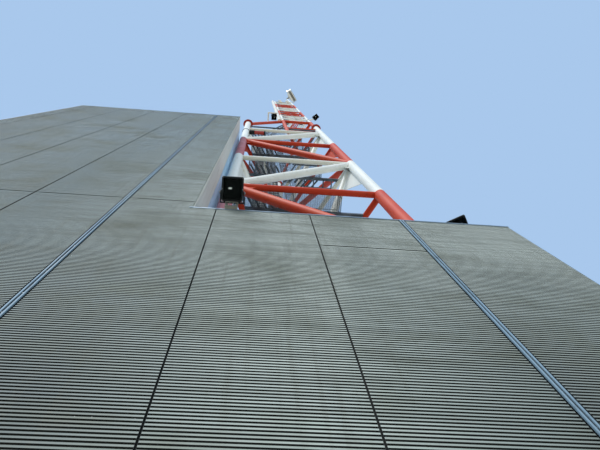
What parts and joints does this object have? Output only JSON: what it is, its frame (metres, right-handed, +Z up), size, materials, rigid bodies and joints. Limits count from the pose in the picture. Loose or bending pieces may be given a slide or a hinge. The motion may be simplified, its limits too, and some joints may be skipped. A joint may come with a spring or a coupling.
{
  "type": "radio mast with its equipment block, 1:10 scale model",
  "caption": "Three-legged tubular radio mast in red and white bands, rising from a ribbed-sheet equipment block with a taller part beside it; slim upper mast, antennas and floodlights.",
  "frame": {"origin": "centre of the rear leg's foot flange, on its underside at ground level", "axes": "+Z up along the mast, +X to the right along the ribbed front, +Y to the rear; the ribbed front faces -Y"},
  "size_m": [2.0961, 0.9029, 15.173],
  "materials": {
    "ribbed_sheet": "coil-coated ribbed sheet, weathered matt",
    "side_sheet": "flat coated sheet, matt",
    "beige_panel": "flat coated panel, matt",
    "roof_membrane": "matt membrane",
    "coping_metal": "coated sheet, satin",
    "rail_aluminium": "mill finish, dulled",
    "red_paint": "satin marking paint, weathered",
    "white_paint": "satin marking paint, weathered",
    "dark_red_paint": "satin marking paint",
    "galvanised_steel": "hot-dip galvanised, dull",
    "grating_steel": "hot-dip galvanised grating",
    "drum_paint": "painted, satin",
    "radome": "glass-fibre radome, satin",
    "lamp_black": "powder coated, matt",
    "beacon_glass": "moulded red lens, glossy"
  },
  "bodies": {
    "root": {"low_front_wall": "ribbed_sheet", "low_right_wall": "ribbed_sheet", "low_rear_wall": "ribbed_sheet", "low_roof": "roof_membrane", "tall_front_wall": "ribbed_sheet", "tall_left_wall": "ribbed_sheet", "tall_right_wall": "side_sheet", "tall_rear_wall": "ribbed_sheet", "tall_roof": "roof_membrane", "copings": "coping_metal", "corner_panel": "beige_panel", "side_cladding": "side_sheet", "guide_rails": "rail_aluminium", "leg_feet": "red_paint", "leg_left_red": "red_paint", "leg_left_white": "white_paint", "leg_right_red": "red_paint", "leg_right_white": "white_paint", "leg_rear_red": "red_paint", "leg_rear_white": "white_paint", "front_bracing_red": "red_paint", "front_bracing_white": "white_paint", "right_bracing_red": "red_paint", "right_bracing_white": "white_paint", "left_bracing_red": "red_paint", "left_bracing_white": "white_paint", "top_ring": "galvanised_steel", "leg_caps": "dark_red_paint", "upper_frame": "red_paint", "upper_legs_red": "red_paint", "upper_legs_white": "white_paint", "upper_bracing_red": "red_paint", "upper_bracing_white": "white_paint", "head_platform": "grating_steel", "top_pole": "white_paint", "drum_antenna": "drum_paint", "column_antenna": "radome", "panel_antennas": "radome", "cross_beams": "galvanised_steel", "walkways": "grating_steel", "cable_ladders": "galvanised_steel", "climbing_ladder": "galvanised_steel", "obstruction_light": "beacon_glass", "parapet_lamps": "lamp_black", "mast_lamps": "lamp_black"}
  },
  "joints": []
}
